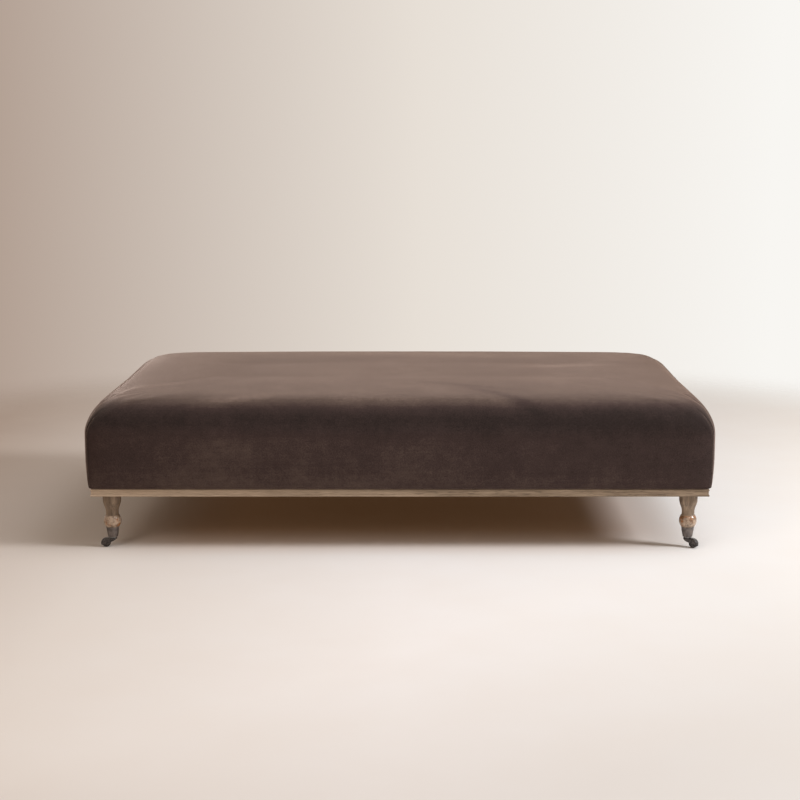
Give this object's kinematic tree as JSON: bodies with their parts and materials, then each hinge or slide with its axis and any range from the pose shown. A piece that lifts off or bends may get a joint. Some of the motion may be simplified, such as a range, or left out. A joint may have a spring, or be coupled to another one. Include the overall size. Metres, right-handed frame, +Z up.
{
  "type": "ottoman coffee table",
  "caption": "Rectangular upholstered ottoman coffee table with a rounded velvet body on a moulded oak plinth, turned legs and swivelling cup casters.",
  "frame": {"origin": "on the floor under the middle of the body", "axes": "+X along the length, +Z up, the front faces -Y"},
  "size_m": [1.829, 1.1426, 0.453],
  "materials": {
    "velvet": "soft velvet with a brushed nap",
    "wadding": "matte",
    "foam": "matte",
    "hessian": "matte",
    "jute_webbing": "matte",
    "softwood": "sawn, matte",
    "cambric": "matte",
    "plinth_oak": "weathered oak, satin",
    "leg_wood": "weathered oak, waxed satin",
    "steel": "satin",
    "cup_metal": "antiqued dark bronze, satin",
    "caster_iron": "blackened, satin"
  },
  "bodies": {
    "body": {"velvet_cover": "velvet", "fibre_wrap": "wadding", "foam_top_pad": "foam", "foam_side_front": "foam", "foam_side_back": "foam", "foam_side_left": "foam", "foam_side_right": "foam", "hessian_layer": "hessian", "webbing_lengthwise": "jute_webbing", "webbing_crosswise": "jute_webbing", "frame_rail_front": "softwood", "frame_rail_back": "softwood", "frame_rail_left": "softwood", "frame_rail_right": "softwood", "frame_post_front_left": "softwood", "frame_post_front_right": "softwood", "frame_post_rear_left": "softwood", "frame_post_rear_right": "softwood", "frame_stretcher_left": "softwood", "frame_stretcher_middle": "softwood", "frame_stretcher_right": "softwood", "frame_dowels": "softwood", "stretcher_screws": "steel", "dust_cover": "cambric", "plinth_front": "plinth_oak", "plinth_back": "plinth_oak", "plinth_left": "plinth_oak", "plinth_right": "plinth_oak", "plinth_screws": "steel", "hanger_bolts": "steel", "threaded_inserts": "steel", "cup_screws": "cup_metal", "king_pins": "steel", "thrust_washers": "steel", "leg_front_left": "leg_wood", "leg_front_right": "leg_wood", "leg_rear_left": "leg_wood", "leg_rear_right": "leg_wood", "caster_cup_front_left": "cup_metal", "caster_cup_front_right": "cup_metal", "caster_cup_rear_left": "cup_metal", "caster_cup_rear_right": "cup_metal"},
    "swivel_front_left": {"caster_horn_front_left": "caster_iron", "wheel_axle_front_left": "steel"},
    "rolling_front_left": {"wheel_front_left": "caster_iron"},
    "swivel_front_right": {"caster_horn_front_right": "caster_iron", "wheel_axle_front_right": "steel"},
    "rolling_front_right": {"wheel_front_right": "caster_iron"},
    "swivel_rear_left": {"caster_horn_rear_left": "caster_iron", "wheel_axle_rear_left": "steel"},
    "rolling_rear_left": {"wheel_rear_left": "caster_iron"},
    "swivel_rear_right": {"caster_horn_rear_right": "caster_iron", "wheel_axle_rear_right": "steel"},
    "rolling_rear_right": {"wheel_rear_right": "caster_iron"}
  },
  "joints": [
    {"name": "swivel_turn_front_left", "type": "hinge", "parent": "body", "child": "swivel_front_left", "pos_m": [-0.851, -0.508, 0.03], "axis": [0, 0, 1], "continuous": true},
    {"name": "wheel_spin_front_left", "type": "hinge", "parent": "swivel_front_left", "child": "rolling_front_left", "pos_m": [-0.871, -0.508, 0.0125], "axis": [0, -1, 0], "continuous": true},
    {"name": "swivel_turn_front_right", "type": "hinge", "parent": "body", "child": "swivel_front_right", "pos_m": [0.851, -0.508, 0.03], "axis": [0, 0, 1], "continuous": true},
    {"name": "wheel_spin_front_right", "type": "hinge", "parent": "swivel_front_right", "child": "rolling_front_right", "pos_m": [0.86632, -0.52086, 0.0125], "axis": [0.6428, 0.766, 0], "continuous": true},
    {"name": "swivel_turn_rear_left", "type": "hinge", "parent": "body", "child": "swivel_rear_left", "pos_m": [-0.851, 0.508, 0.03], "axis": [0, 0, 1], "continuous": true},
    {"name": "wheel_spin_rear_left", "type": "hinge", "parent": "swivel_rear_left", "child": "rolling_rear_left", "pos_m": [-0.86866, 0.51739, 0.0125], "axis": [-0.4695, -0.8829, 0], "continuous": true},
    {"name": "swivel_turn_rear_right", "type": "hinge", "parent": "body", "child": "swivel_rear_right", "pos_m": [0.851, 0.508, 0.03], "axis": [0, 0, 1], "continuous": true},
    {"name": "wheel_spin_rear_right", "type": "hinge", "parent": "swivel_rear_right", "child": "rolling_rear_right", "pos_m": [0.87002, 0.51418, 0.0125], "axis": [-0.309, 0.9511, 0], "continuous": true}
  ]
}
